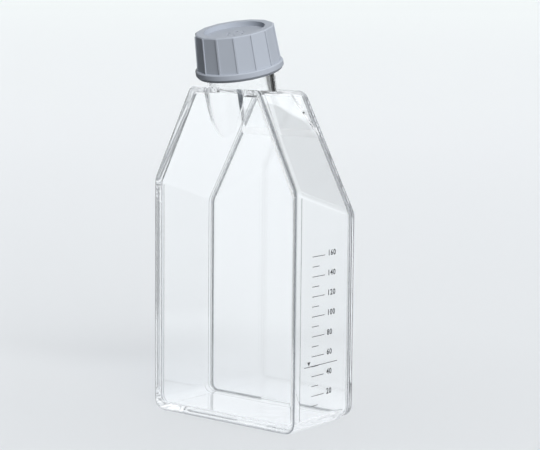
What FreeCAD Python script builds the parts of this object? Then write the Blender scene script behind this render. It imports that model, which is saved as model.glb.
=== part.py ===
import FreeCAD, Part
import math
import os

import Sketcher

# Canted-neck cell culture flask with a vented screw cap, standing on its end wall.
# X runs across the width, Y from the front face (negative) to the growth plate
# (positive), Z up.  The origin is on the table, in the middle of the body.
# The neck has a frame of its own: its Z is the neck's axis and its origin lies where
# that axis meets the outside of the top wall.

doc = FreeCAD.newDocument("culture_flask")

# ---------------------------------------------------------------- driving sizes (mm)
SIZES = [
    ("body_width", 75.0, "across the growth plate"),
    ("body_depth", 37.5, "front face to back of growth plate"),
    ("front_shoulder", 96.5, "height where the front outline starts to narrow"),
    ("shoulder_fall", 11.5, "how much lower it starts at the growth plate"),
    ("front_top", 135.3, "height of the top wall at the front face"),
    ("top_fall", 2.6, "how much lower the top wall is at the growth plate"),
    ("front_top_width", 36.0, "width of the top wall at the front face"),
    ("back_top_width", 22.8, "width of the top wall at the growth plate"),
    ("wall", 1.8, "moulded wall"),
    ("floor_wall", 2.6, "end wall that the flask stands on"),
    ("bottom_radius", 5.0, "lower corners of the outline"),
    ("shoulder_radius", 8.0, "bend between side and shoulder"),
    ("top_radius", 2.5, "upper corners of the shell"),
    ("flange_overhang", 0.4, "weld flange beyond the side wall"),
    ("flange_depth", 1.6, "weld flange, front to back"),
    ("flange_top_radius", 5.0, "upper corners of the weld flange"),
    ("plate_thickness", 1.9, "growth plate"),
    ("foot_height", 1.2, "foot below the weld flange and the growth plate"),
    ("foot_setback", 5.8, "foot to the back of the growth plate"),
    ("ramp_angle", 30.0, "ramp behind the mouth, from upright"),
    ("ramp_gap", 0.3, "bore to ramp at the top wall"),
    ("neck_lean", 13.0, "neck leans this far towards the front face"),
    ("neck_setback", 11.55, "front face to neck axis at the top wall"),
    ("bore_radius", 11.6, "mouth and bore"),
    ("neck_wall", 1.5, "bore to the outside of the threaded part"),
    ("neck_base_step", 0.7, "plain lower part of the neck beyond the threaded part"),
    ("mouth_bevel", 0.4, "outer edge of the mouth"),
    ("bulge_step", 1.7, "bulge under the neck beyond the neck's plain part"),
    ("bulge_length", 30.0, "length of the bulge's cylinder down the axis"),
    ("thread_pitch", 4.0, "one turn lifts the cap this far"),
    ("thread_turns", 1.75, "turns on the neck and in the cap"),
    ("thread_height", 1.2, "root to crest"),
    ("thread_root_width", 1.9, "axial width at the root"),
    ("thread_crest_width", 0.9, "axial width at the crest"),
    ("thread_clearance", 0.4, "crest to the opposite root"),
    ("thread_lead", 1.9, "lower edge of the cap to the start of its thread"),
    ("thread_gap", 0.05, "cap's thread to the plain part of the neck"),
    ("cap_start", 7.1, "top wall to the lower edge of the cap"),
    ("cap_depth", 14.4, "inside of the cap, lower edge to inner top"),
    ("cap_top_wall", 1.4, "inner top to the floor of the recess"),
    ("mouth_gap", 0.1, "inner top above the mouth when closed"),
    ("cap_facets", 14.0, "flat sides"),
    ("skirt_wall", 2.25, "cap's bore to the facet corners above the bead"),
    ("cap_taper", 1.05, "facet corners lean in by this much"),
    ("cap_top_edge", 0.4, "bevel round the top"),
    ("bead_step", 0.75, "bead beyond the facet corners"),
    ("bead_height", 3.3, "height of the bead"),
    ("bead_bevel", 1.1, "lower edge of the bead, up its side"),
    ("bead_bevel_depth", 0.8, "lower edge of the bead, inwards"),
    ("bead_upper_bevel", 0.4, "upper edge of the bead"),
    ("rib_width", 0.75, "grip rib on each facet corner"),
    ("rib_height", 0.25, "rib beyond the facet corner"),
    ("rim_width", 3.6, "facet corners at the top to the recess"),
    ("recess_depth", 1.9, "depth of the recessed top"),
    ("seal_gap", 0.3, "bore to the plug seal that enters it"),
    ("seal_wall", 0.9, "wall of the plug seal"),
    ("seal_length", 2.4, "length of the plug seal"),
    ("vent_count", 6.0, "vent holes"),
    ("vent_radius", 0.8, "vent hole"),
    ("vent_circle", 3.3, "radius of the ring of vent holes"),
    ("membrane_gap", 0.2, "membrane edge to plug seal"),
    ("membrane_thickness", 0.25, "vent membrane"),
]

sheet = doc.addObject("Spreadsheet::Sheet", "Sizes")
for row, (alias, number, meaning) in enumerate(SIZES, start=1):
    sheet.set("A%d" % row, alias)
    sheet.set("B%d" % row, str(number))
    sheet.set("C%d" % row, meaning)
    sheet.setAlias("B%d" % row, alias)
doc.recompute()


ROUGH_RADIUS = 1.0  # starting value; the sheet sets the real one


def size(alias):
    """A driving size as a number, for counts and starting values."""
    return float(sheet.get(alias))


def cell(text):
    """Turn size names written as @name into references to the sheet."""
    return text.replace("@", "Sizes.")


# ---------------------------------------------------------------- helpers
def origin_feature(body, role):
    """One of a body's own origin planes or axes, found by its role."""
    for feature in body.Origin.OriginFeatures:
        if feature.Role == role:
            return feature
    raise ValueError(role)


def new_body(label):
    body = doc.addObject("PartDesign::Body", label)
    body.Label = label
    return body


def new_sketch(body, name, plane, offset=None):
    """A sketch on one of the body's origin planes, moved along its normal."""
    sketch = body.newObject("Sketcher::SketchObject", name)
    sketch.AttachmentSupport = [(origin_feature(body, plane), "")]
    sketch.MapMode = "FlatFace"
    if offset:
        sketch.setExpression("AttachmentOffset.Base.z", cell(offset))
    return sketch


def bind(sketch, index, name, expression):
    sketch.renameConstraint(index, name)
    sketch.setExpression("Constraints." + name, cell(expression))


def polygon(sketch, corners):
    """Draw a closed outline of straight lines with some of its corners rounded.

    Each corner is (name, x expression, y expression, starting x, starting y) and
    may end with an expression for its radius. The points where the straight lines
    would meet are held by their distances from the origin.
    """
    count = len(corners)
    for i in range(count):
        start = FreeCAD.Vector(corners[i][3], corners[i][4], 0)
        after = corners[(i + 1) % count]
        end = FreeCAD.Vector(after[3], after[4], 0)
        sketch.addGeometry(Part.LineSegment(start, end), False)
    for i in range(count):
        sketch.addConstraint(Sketcher.Constraint("Coincident", i, 2, (i + 1) % count, 1))
    points = list(range(count))
    arcs = {}
    for i, corner in enumerate(corners):
        if len(corner) > 5:
            sketch.fillet(i, 1, ROUGH_RADIUS, True, True)
            arcs[i] = sketch.GeometryCount - 2
            points[i] = sketch.GeometryCount - 1
    for i, corner in enumerate(corners):
        name, across, along, x, y = corner[:5]
        index = sketch.addConstraint(Sketcher.Constraint("DistanceX", -1, 1, points[i], 1, x))
        bind(sketch, index, name + "_x", across)
        index = sketch.addConstraint(Sketcher.Constraint("DistanceY", -1, 1, points[i], 1, y))
        bind(sketch, index, name + "_y", along)
        if i in arcs:
            index = sketch.addConstraint(Sketcher.Constraint("Radius", arcs[i], ROUGH_RADIUS))
            bind(sketch, index, name + "_radius", corner[5])


def outline(sketch, sizes, radii, start):
    """The flask's six-sided outline.

    sizes holds half width, bottom, shoulder height, half width at the top and top;
    start holds rough numbers for the same five; radii holds bottom, shoulder, top.
    """
    half, bottom, shoulder, top_half, top = sizes
    low, mid, high = radii
    h0, b0, s0, w0, t0 = start
    polygon(
        sketch,
        [
            ("low_left", "-" + half, bottom, -h0, b0, low),
            ("low_right", half, bottom, h0, b0, low),
            ("shoulder_right", half, shoulder, h0, s0, mid),
            ("top_right", top_half, top, w0, t0, high),
            ("top_left", "-" + top_half, top, -w0, t0, high),
            ("shoulder_left", "-" + half, shoulder, -h0, s0, mid),
        ],
    )


def lofted(body, name, sketches):
    """Loft a body with straight rulings through outline sketches."""
    loft = body.newObject("PartDesign::AdditiveLoft", name)
    loft.Profile = sketches[0]
    loft.Sections = sketches[1:]
    loft.Ruled = True
    doc.recompute()
    return loft


def ruled_form(label, sections, radii):
    """A body lofted between two of the flask's outlines.

    sections holds (y of the section, outline sizes, starting numbers) for both ends.
    """
    body = new_body(label)
    sketches = []
    for i, (depth, sizes, start) in enumerate(sections):
        sketch = new_sketch(body, "%s_section_%d" % (label, i + 1), "XZ_Plane", "-" + depth)
        outline(sketch, sizes, radii, start)
        sketches.append(sketch)
    doc.recompute()
    lofted(body, label + "_loft", sketches)
    return body


def padded(body, sketch, name, length, midplane=False):
    """Pad a sketch by a length from the sheet."""
    pad = body.newObject("PartDesign::Pad", name)
    pad.Profile = sketch
    pad.Midplane = midplane
    pad.setExpression("Length", cell(length))
    doc.recompute()
    return pad


def side_profile(label, corners, half_length):
    """A body padded both ways in X from an outline in the middle plane."""
    body = new_body(label)
    sketch = new_sketch(body, label + "_profile", "YZ_Plane")
    polygon(sketch, corners)
    padded(body, sketch, label + "_pad", "2 * " + half_length, True)
    return body


def stand_on_neck_axis(obj, distance):
    """Place an object in the neck's frame, this far up the axis from the top wall."""
    obj.Placement = FreeCAD.Placement(
        FreeCAD.Vector(0, 0, 0), FreeCAD.Rotation(FreeCAD.Vector(1, 0, 0), size("neck_lean"))
    )
    obj.setExpression("Placement.Rotation.Angle", cell("@neck_lean"))
    obj.setExpression(
        "Placement.Base.y", cell(NECK_Y + " - (" + distance + ") * sin(@neck_lean)")
    )
    obj.setExpression(
        "Placement.Base.z", cell(NECK_Z + " + (" + distance + ") * cos(@neck_lean)")
    )


def combined(kind, label, first, second):
    """A Part boolean of two objects."""
    result = doc.addObject("Part::" + kind, label)
    result.Base = first
    result.Tool = second
    result.Label = label
    doc.recompute()
    return result


def fused(label, parts):
    """One Part fusion of several objects."""
    result = doc.addObject("Part::MultiFuse", label)
    result.Shapes = parts
    result.Label = label
    doc.recompute()
    return result


# ---------------------------------------------------------------- shared expressions
FRONT = "(-@body_depth / 2)"
SHELL_BACK = "(@body_depth / 2 - @plate_thickness)"
SHELL_DEPTH = "(@body_depth - @plate_thickness)"
SIDE = "(@body_width / 2 - @flange_overhang)"
FRONT_SLANT = "atan((" + SIDE + " - @front_top_width / 2) / (@front_top - @front_shoulder))"
BACK_RISE = "(@front_top - @top_fall - @front_shoulder + @shoulder_fall)"
BACK_SLANT = "atan((" + SIDE + " - @back_top_width / 2) / " + BACK_RISE + ")"
NECK_Y = "(" + FRONT + " + @neck_setback)"
NECK_Z = "(@front_top - @top_fall * @neck_setback / " + SHELL_DEPTH + ")"
NECK_RADIUS = "(@bore_radius + @neck_wall)"
NECK_BASE_RADIUS = "(" + NECK_RADIUS + " + @neck_base_step)"
BULGE_RADIUS = "(" + NECK_BASE_RADIUS + " + @bulge_step)"
NECK_LENGTH = "(@cap_start + @cap_depth - @mouth_gap)"
NECK_BASE_LENGTH = "(@cap_start + @thread_lead - @thread_root_width / 2 - @thread_gap)"
THREAD_START = "(@cap_start + @thread_lead + @thread_pitch / 2)"
CAP_BORE = "(" + NECK_RADIUS + " + @thread_height + @thread_clearance)"
CAP_HEIGHT = "(@cap_depth + @cap_top_wall + @recess_depth)"
LOWER_CORNER = "(" + CAP_BORE + " + @skirt_wall)"
UPPER_CORNER = "(" + LOWER_CORNER + " - @cap_taper)"
BEAD_RADIUS = "(" + LOWER_CORNER + " + @bead_step)"
RECESS_RADIUS = "(" + UPPER_CORNER + " - @rim_width)"
SEAL_RADIUS = "(@bore_radius - @seal_gap)"


def top_at(depth, drop):
    """Height of the top wall's outside at a depth, less a drop."""
    fall = "@top_fall * (" + depth + " - " + FRONT + ") / " + SHELL_DEPTH
    return "(@front_top - " + fall + " - " + drop + ")"


def outline_at(share, slant, inset, bottom):
    """Outline sizes at a share of the shell's depth, moved inwards by an inset."""
    shoulder = "(@front_shoulder - @shoulder_fall * %s)" % share
    top = "(@front_top - @top_fall * %s)" % share
    width = "(@front_top_width + (@back_top_width - @front_top_width) * %s)" % share
    return (
        "(%s - %s)" % (SIDE, inset),
        bottom,
        "(%s - %s * tan(%s / 2))" % (shoulder, inset, slant),
        "(%s / 2 - %s * (1 - sin(%s)) / cos(%s))" % (width, inset, slant, slant),
        "(%s - %s)" % (top, inset),
    )


FRONT_START = (37, 1, 96, 18, 135)
BACK_START = (37, 1, 85, 11, 132)
THROUGH = 1.0  # how far a cutting form passes the face it opens


# ---------------------------------------------------------------- flask body
def shell_form():
    """Outside of the moulding: side walls, slanted shoulders and top wall."""
    front = outline_at("0", FRONT_SLANT, "0", "@foot_height")
    back = outline_at("1", BACK_SLANT, "0", "@foot_height")
    return ruled_form(
        "shell_form",
        [(FRONT, front, FRONT_START), (SHELL_BACK, back, BACK_START)],
        ("@bottom_radius", "@shoulder_radius", "@top_radius"),
    )


def cavity_form():
    """Inside of the moulding, open towards the growth plate."""
    near = "(@wall / %s)" % SHELL_DEPTH
    far = "(1 + %s / %s)" % (THROUGH, SHELL_DEPTH)
    front = outline_at(near, FRONT_SLANT, "@wall", "@floor_wall")
    back = outline_at(far, BACK_SLANT, "@wall", "@floor_wall")
    return ruled_form(
        "cavity_form",
        [
            ("(%s + @wall)" % FRONT, front, FRONT_START),
            ("(%s + %s)" % (SHELL_BACK, THROUGH), back, BACK_START),
        ],
        ("@bottom_radius - @wall", "@shoulder_radius - @wall", "@top_radius - @wall"),
    )


def frame_slab(label, back_face, thickness):
    """A slab with the weld flange's outline, ending at back_face."""
    body = new_body(label)
    sketch = new_sketch(body, label + "_outline", "XZ_Plane", "-" + back_face)
    sizes = outline_at("1", BACK_SLANT, "(-@flange_overhang)", "@foot_height")
    radii = ("@bottom_radius", "@shoulder_radius", "@flange_top_radius")
    outline(sketch, sizes, radii, BACK_START)
    padded(body, sketch, label + "_pad", thickness)
    return body


def foot_form():
    """The foot: the end wall in front of the weld flange reaches a little lower."""
    body = new_body("foot_form")
    sketch = new_sketch(body, "foot_outline", "XZ_Plane", "-(@body_depth / 2 - @foot_setback)")
    height = "(@foot_height + @bottom_radius)"
    polygon(
        sketch,
        [
            ("low_left", "-" + SIDE, "0", -37, 0, "@bottom_radius"),
            ("low_right", SIDE, "0", 37, 0, "@bottom_radius"),
            ("high_right", SIDE, height, 37, 7),
            ("high_left", "-" + SIDE, height, -37, 7),
        ],
    )
    padded(body, sketch, "foot_pad", "@body_depth - @foot_setback")
    return body


def under_top(label, drop):
    """Everything in front of the weld flange's back face and below the top wall.

    The drop is measured from the top wall's outside.
    """
    front = "(-2 * @body_depth)"
    return side_profile(
        label,
        [
            ("low_front", front, "0", -75, 0),
            ("low_back", SHELL_BACK, "0", 16, 0),
            ("high_back", SHELL_BACK, top_at(SHELL_BACK, drop), 16, 132),
            ("high_front", front, top_at(front, drop), -75, 139),
        ],
        "@body_width",
    )


def bulge(label, radius, start, ceiling):
    """The cylinder round the neck's axis that swells out of the front face."""
    rod = doc.addObject("Part::Cylinder", label + "_rod")
    rod.setExpression("Radius", cell(radius))
    rod.setExpression("Height", cell(start + " + " + BULGE_RADIUS))
    stand_on_neck_axis(rod, "-" + start)
    return combined("Common", label, rod, ceiling)


def thread_ridge(body, label, start, root, crest, rough):
    """A helical ridge; root and crest are its radii, start its height on the axis."""
    sketch = new_sketch(body, label + "_profile", "XZ_Plane")
    inside, outside, height = rough
    polygon(
        sketch,
        [
            ("root_low", root, "%s - @thread_root_width / 2" % start, inside, height - 1),
            ("crest_low", crest, "%s - @thread_crest_width / 2" % start, outside, height - 0.5),
            ("crest_high", crest, "%s + @thread_crest_width / 2" % start, outside, height + 0.5),
            ("root_high", root, "%s + @thread_root_width / 2" % start, inside, height + 1),
        ],
    )
    helix = body.newObject("PartDesign::AdditiveHelix", label)
    helix.Profile = sketch
    helix.ReferenceAxis = (origin_feature(body, "Z_Axis"), [""])
    helix.Mode = 0
    helix.setExpression("Pitch", cell("@thread_pitch"))
    helix.setExpression("Height", cell("@thread_pitch * @thread_turns"))
    doc.recompute()
    return helix


def turned(body, sketch, name):
    """Turn a profile once round the body's Z axis."""
    revolution = body.newObject("PartDesign::Revolution", name)
    revolution.Profile = sketch
    revolution.ReferenceAxis = (origin_feature(body, "Z_Axis"), [""])
    revolution.Angle = 360
    doc.recompute()
    return revolution


def neck_form():
    """Outside of the neck with its thread, still without the bore."""
    body = new_body("neck_form")
    sketch = new_sketch(body, "neck_profile", "XZ_Plane")
    below = "(-%s / 2)" % NECK_BASE_RADIUS
    step = "(%s + @neck_base_step)" % NECK_BASE_LENGTH
    lip = "(%s - @mouth_bevel)" % NECK_RADIUS
    polygon(
        sketch,
        [
            ("axis_low", "0", below, 0, -6),
            ("base_low", NECK_BASE_RADIUS, below, 13, -6),
            ("base_high", NECK_BASE_RADIUS, NECK_BASE_LENGTH, 13, 8),
            ("neck_low", NECK_RADIUS, step, 12, 9),
            ("neck_high", NECK_RADIUS, "(%s - @mouth_bevel)" % NECK_LENGTH, 12, 20),
            ("mouth", lip, NECK_LENGTH, 11, 21),
            ("axis_high", "0", NECK_LENGTH, 0, 21),
        ],
    )
    turned(body, sketch, "neck_turned")
    thread_ridge(
        body,
        "neck_thread",
        THREAD_START,
        "(%s - @thread_clearance)" % NECK_RADIUS,
        "(%s + @thread_height)" % NECK_RADIUS,
        (12.7, 14.3, 11),
    )
    stand_on_neck_axis(body, "0")
    return body


def bore():
    """The bore, from the mouth down through the top wall."""
    rod = doc.addObject("Part::Cylinder", "bore")
    rod.setExpression("Radius", cell("@bore_radius"))
    rod.setExpression("Height", cell("%s + @bore_radius + %s" % (NECK_LENGTH, THROUGH)))
    stand_on_neck_axis(rod, "-@bore_radius")
    return rod


def ramp_slab():
    """The sloping wall that leads from the mouth to the growth plate."""
    edge = "(%s + @bore_radius / cos(@neck_lean) + @ramp_gap)" % NECK_Y
    thick = "(@wall / cos(@ramp_angle))"
    drop = "((%s - %s) / tan(@ramp_angle))" % (SHELL_BACK, edge)
    back_drop = "((%s - %s - %s) / tan(@ramp_angle))" % (SHELL_BACK, edge, thick)
    return side_profile(
        "ramp_slab",
        [
            ("high_front", edge, NECK_Z, 5, 134),
            ("low_front", SHELL_BACK, "(%s - %s)" % (NECK_Z, drop), 16, 114),
            ("low_back", SHELL_BACK, "(%s - %s)" % (NECK_Z, back_drop), 16, 118),
            ("high_back", "(%s + %s)" % (edge, thick), NECK_Z, 7, 134),
        ],
        "@body_width / 2",
    )


def flask_body():
    """The one-piece moulding: walls, foot, weld flange, bulge, neck and ramp."""
    shell = shell_form()
    foot = foot_form()
    flange = frame_slab("flange_form", SHELL_BACK, "@flange_depth")
    swell = bulge("bulge_form", BULGE_RADIUS, "@bulge_length", under_top("top_limit", "0"))
    neck = neck_form()
    solid = fused("body_solid", [shell, foot, flange, swell, neck])
    hollow_swell = bulge(
        "bulge_hollow",
        "(%s - @wall)" % BULGE_RADIUS,
        "(@bulge_length - @wall)",
        under_top("ceiling_limit", "@wall"),
    )
    space = fused("body_space", [cavity_form(), hollow_swell, bore()])
    open_space = combined("Cut", "space_beside_ramp", space, ramp_slab())
    return combined("Cut", "flask_body", solid, open_space)


# ---------------------------------------------------------------- growth plate
def growth_plate():
    """The flat plate that cells grow on, welded to the flange."""
    return frame_slab("growth_plate", "(@body_depth / 2)", "@plate_thickness")


# ---------------------------------------------------------------- screw cap
FACET = "360 / @cap_facets"


def facet_ring(body, name, height, radius):
    """The cap's many-sided outline at a height."""
    sketch = new_sketch(body, name, "XY_Plane", height)
    count = int(size("cap_facets"))
    corners = []
    for i in range(count):
        turn = 2 * math.pi * i / count
        across = "%s * cos(%d * %s)" % (radius, i, FACET)
        along = "%s * sin(%d * %s)" % (radius, i, FACET)
        rough = (16 * math.cos(turn), 16 * math.sin(turn))
        corners.append(("corner_%d" % i, across, along, rough[0], rough[1]))
    polygon(sketch, corners)
    return sketch


def rib_end(body, name, height, radius):
    """A rib's small rectangular section at a height."""
    sketch = new_sketch(body, name, "XY_Plane", height)
    inner = "(%s - 2 * @rib_height)" % radius
    outer = "(%s + @rib_height)" % radius
    side = "(@rib_width / 2)"
    polygon(
        sketch,
        [
            ("inner_right", inner, "-" + side, 15, -0.4),
            ("outer_right", outer, "-" + side, 17, -0.4),
            ("outer_left", outer, side, 17, 0.4),
            ("inner_left", inner, side, 15, 0.4),
        ],
    )
    return sketch


def hollowed(body, sketch, name):
    """Cut a turned profile out of a body and make sure that material went away."""
    before = body.Shape.Volume
    groove = body.newObject("PartDesign::Groove", name)
    groove.Profile = sketch
    groove.ReferenceAxis = (origin_feature(body, "Z_Axis"), [""])
    groove.Angle = 360
    doc.recompute()
    if body.Shape.Volume >= before:
        raise ValueError(name + " removed nothing")
    return groove


def screw_cap():
    """The vented cap: facets, ribs, bead, recessed top, plug seal, thread and vents."""
    body = new_body("screw_cap")
    side_low = "@bead_height / 2"
    side_high = "%s - @cap_top_edge" % CAP_HEIGHT
    rings = [
        facet_ring(body, "facets_low", side_low, LOWER_CORNER),
        facet_ring(body, "facets_high", side_high, UPPER_CORNER),
        facet_ring(body, "facets_top", CAP_HEIGHT, "(%s - @cap_top_edge)" % UPPER_CORNER),
    ]
    lofted(body, "facets", rings)

    rib_low = rib_end(body, "rib_low", side_low, LOWER_CORNER)
    rib_high = rib_end(body, "rib_high", side_high, UPPER_CORNER)
    rib = lofted(body, "rib", [rib_low, rib_high])
    ribs = body.newObject("PartDesign::PolarPattern", "ribs")
    ribs.Originals = [rib]
    ribs.Axis = (origin_feature(body, "Z_Axis"), [""])
    ribs.Angle = 360
    ribs.setExpression("Occurrences", cell("@cap_facets"))
    body.Tip = ribs
    doc.recompute()

    sketch = new_sketch(body, "bead_profile", "XZ_Plane")
    polygon(
        sketch,
        [
            ("axis_low", "0", "0", 0, 0),
            ("bead_foot", "(%s - @bead_bevel_depth)" % BEAD_RADIUS, "0", 16, 0),
            ("bead_low", BEAD_RADIUS, "@bead_bevel", 17, 1),
            ("bead_high", BEAD_RADIUS, "(@bead_height - @bead_upper_bevel)", 17, 3),
            ("bead_top", "(%s - @bead_upper_bevel)" % BEAD_RADIUS, "@bead_height", 16, 4),
            ("axis_high", "0", "@bead_height", 0, 4),
        ],
    )
    turned(body, sketch, "bead")

    sketch = new_sketch(body, "hollow_profile", "XZ_Plane")
    below = "(-%s)" % THROUGH
    seal_end = "(@cap_depth - @seal_length)"
    seal_inside = "(%s - @seal_wall)" % SEAL_RADIUS
    polygon(
        sketch,
        [
            ("axis_low", "0", below, 0, -1),
            ("bore_low", CAP_BORE, below, 15, -1),
            ("bore_high", CAP_BORE, "@cap_depth", 15, 14),
            ("seal_root", SEAL_RADIUS, "@cap_depth", 11, 14),
            ("seal_outer", SEAL_RADIUS, seal_end, 11, 12),
            ("seal_inner", seal_inside, seal_end, 10, 12),
            ("seal_inside", seal_inside, "@cap_depth", 10, 14),
            ("axis_high", "0", "@cap_depth", 0, 14),
        ],
    )
    hollowed(body, sketch, "hollow")

    sketch = new_sketch(body, "recess_profile", "XZ_Plane")
    floor = "(@cap_depth + @cap_top_wall)"
    above = "(%s + %s)" % (CAP_HEIGHT, THROUGH)
    polygon(
        sketch,
        [
            ("axis_low", "0", floor, 0, 16),
            ("floor_end", RECESS_RADIUS, floor, 12, 16),
            ("recess_high", RECESS_RADIUS, above, 12, 19),
            ("axis_high", "0", above, 0, 19),
        ],
    )
    hollowed(body, sketch, "recess")

    sketch = new_sketch(body, "vent_circle", "XY_Plane", floor)
    sketch.addGeometry(Part.Circle(FreeCAD.Vector(3, 0, 0), FreeCAD.Vector(0, 0, 1), 1), False)
    sketch.addConstraint(Sketcher.Constraint("PointOnObject", 0, 3, -1))
    index = sketch.addConstraint(Sketcher.Constraint("DistanceX", -1, 1, 0, 3, 3))
    bind(sketch, index, "vent_place", "@vent_circle")
    index = sketch.addConstraint(Sketcher.Constraint("Radius", 0, 1))
    bind(sketch, index, "vent_size", "@vent_radius")
    before = body.Shape.Volume
    vent = body.newObject("PartDesign::Pocket", "vent")
    vent.Profile = sketch
    vent.setExpression("Length", cell("@cap_top_wall + %s" % THROUGH))
    doc.recompute()
    if body.Shape.Volume >= before:
        raise ValueError("vent removed nothing")
    vents = body.newObject("PartDesign::PolarPattern", "vents")
    vents.Originals = [vent]
    vents.Axis = (origin_feature(body, "Z_Axis"), [""])
    vents.Angle = 360
    vents.setExpression("Occurrences", cell("@vent_count"))
    body.Tip = vents
    doc.recompute()

    thread_ridge(
        body,
        "cap_thread",
        "@thread_lead",
        "(%s + @thread_clearance)" % CAP_BORE,
        "(%s + @thread_clearance)" % NECK_RADIUS,
        (15, 13.5, 2),
    )
    stand_on_neck_axis(body, "@cap_start")
    return body


# ---------------------------------------------------------------- vent membrane
def vent_membrane():
    """The thin disc that covers the vent holes from inside, within the plug seal."""
    disc = doc.addObject("Part::Cylinder", "vent_membrane")
    disc.Label = "vent_membrane"
    disc.setExpression("Radius", cell("%s - @seal_wall - @membrane_gap" % SEAL_RADIUS))
    disc.setExpression("Height", cell("@membrane_thickness"))
    stand_on_neck_axis(disc, "@cap_start + @cap_depth - @membrane_thickness")
    return disc


# ---------------------------------------------------------------- checks and export
nodes = [flask_body(), growth_plate(), screw_cap(), vent_membrane()]
doc.recompute()

for thing in doc.Objects:
    if "Invalid" in thing.State or "Error" in thing.State:
        raise ValueError("%s did not build" % thing.Name)
for node in nodes:
    shape = node.Shape
    if shape.isNull() or not shape.isValid() or len(shape.Solids) != 1:
        raise ValueError("%s is not one sound solid" % node.Label)

os.makedirs("parts", exist_ok=True)
for node in nodes:
    node.Shape.exportStep("parts/%s.step" % node.Label)
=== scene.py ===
import math

import bpy
import bmesh
from mathutils import Matrix, Vector


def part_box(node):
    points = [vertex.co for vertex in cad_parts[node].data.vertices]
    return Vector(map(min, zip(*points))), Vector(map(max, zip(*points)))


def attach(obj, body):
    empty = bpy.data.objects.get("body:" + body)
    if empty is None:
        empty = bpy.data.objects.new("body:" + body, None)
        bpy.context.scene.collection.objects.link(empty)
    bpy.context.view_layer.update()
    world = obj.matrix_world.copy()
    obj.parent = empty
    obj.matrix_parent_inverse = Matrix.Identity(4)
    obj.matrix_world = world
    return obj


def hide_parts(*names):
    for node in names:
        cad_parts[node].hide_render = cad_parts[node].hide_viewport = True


# A canted-neck culture flask of clear polystyrene, standing on its foot.
# Lengths are in metres: X across the width, Y from the front face to the growth plate.

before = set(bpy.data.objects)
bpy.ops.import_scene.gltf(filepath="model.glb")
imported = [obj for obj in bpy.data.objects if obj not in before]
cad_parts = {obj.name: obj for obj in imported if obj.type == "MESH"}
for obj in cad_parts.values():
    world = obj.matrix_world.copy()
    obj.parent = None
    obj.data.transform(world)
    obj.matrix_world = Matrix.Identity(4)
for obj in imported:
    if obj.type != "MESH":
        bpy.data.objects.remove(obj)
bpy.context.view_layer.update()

MM = 0.001
MERGE = 0.001 * MM
FINE_MERGE = 0.0005 * MM

# ------------------------------------------------------------------ sizes of the flask
PLATE_LOW, PLATE_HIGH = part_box("growth_plate")
FRONT = -PLATE_HIGH.y
JOINT = PLATE_LOW.y
OVERHANG = 0.4 * MM
SIDE = PLATE_HIGH.x - OVERHANG
SHOULDER = 96.5 * MM
SHOULDER_FALL = 11.5 * MM
TOP = 135.3 * MM
TOP_FALL = 2.6 * MM
TOP_HALF_FRONT = 18.0 * MM
TOP_HALF_BACK = 11.4 * MM
WALL = 1.8 * MM
FLOOR_WALL = 2.6 * MM
FOOT_HEIGHT = PLATE_LOW.z
FOOT_END = PLATE_HIGH.y - 5.8 * MM
FLANGE_DEPTH = 1.6 * MM
SHELL_RADII = (5.0 * MM, 8.0 * MM, 2.5 * MM)
FLANGE_RADII = (5.0 * MM, 8.0 * MM, 5.0 * MM)
CAVITY_RADII = (3.2 * MM, 6.2 * MM, 0.9 * MM)

LEAN = math.radians(13)
NECK_Y = FRONT + 11.55 * MM
NECK_LENGTH = 21.4 * MM
NECK_BASE_RADIUS = 13.8 * MM
NECK_BASE_LENGTH = 8.0 * MM
NECK_RADIUS = 13.1 * MM
BORE_RADIUS = 11.6 * MM
LIP_ROUNDING = 0.4 * MM
BULGE_RADIUS = 15.5 * MM
BULGE_LENGTH = 30.0 * MM
BULGE_DROP = 0.03 * MM
RAMP_ANGLE = math.radians(30)
RAMP_GAP = 0.3 * MM
THREAD_PITCH = 4.0 * MM
THREAD_TURNS = 1.75
THREAD_START = 11.0 * MM
THREAD_HEIGHT = 1.2 * MM
THREAD_ROOT_WIDTH = 1.9 * MM
THREAD_CREST_WIDTH = 0.9 * MM
THREAD_ROOT_SINK = 0.4 * MM
# shares of the height and the crest width, where the flanks round over into the crest
THREAD_FLANK_RISE = 0.8
THREAD_FLANK_SHARE = 1.15
THREAD_CREST_SHARE = 0.7
THREAD_END_RISE = 0.05
THREAD_STEPS = 48
THREAD_RUN_OUT = 12

# ------------------------------------------------------------------ roundings and divisions
EDGE_ROUNDING = 0.55 * MM
INNER_ROUNDING = 1.2 * MM
INNER_ROUNDING_DEPTH = 3.0 * MM
FLANGE_ROUNDING = 0.32 * MM
WELD_GAP = 0.03 * MM
WELD_FILLET = 0.8 * MM
SMALLEST_ROUNDING = 0.2 * MM
ARC_STEPS = 8
INNER_ARC_STEPS = 10
CORNER_STEPS = (10, 8, 6)
RUN_STEPS = 8
DEPTH_STEPS = 8
ROUND_STEPS = 160
PAST = 1.0 * MM
CLEAR_SMOOTH_ANGLE = 12.5

CAP_BEVEL = 0.12 * MM
CAP_BEVEL_STEPS = 2
CAP_BEVEL_ANGLE = math.radians(24)
CAP_FLAT_ANGLE = math.radians(0.6)
CAP_SMOOTH_ANGLE = 28

# ------------------------------------------------------------------ painted shade: dark lines along the edges of the clear plastic, standing in for refraction
PAINTED_SHADE_COLOUR = (0.14, 0.15, 0.165, 1)
OUTER_EDGE_SHADE = 1.0
FRONT_STRIP_SHADE = 0.6
FLANGE_EDGE_SHADE = 0.35
PLATE_EDGE_SHADE = 0.9
INNER_EDGE_SHADE = 0.9
BULGE_BAND_SHADE = 1.0
CORNER_STRIP = 0.4 * MM
STRIP_AREA = 12 * MM * MM
ON_FACE = 0.01 * MM
TOP_MARGIN = 1.5 * EDGE_ROUNDING
NEAR_TOP = 2 * WALL
NEAR_SIDE = 0.9 * WALL
# a normal's part along Y: past the first a face is rounded, past the second it is flat
ROUNDED_FROM = 0.1
FLAT_FROM = 0.99
FACING_BACK = 0.001
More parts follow.
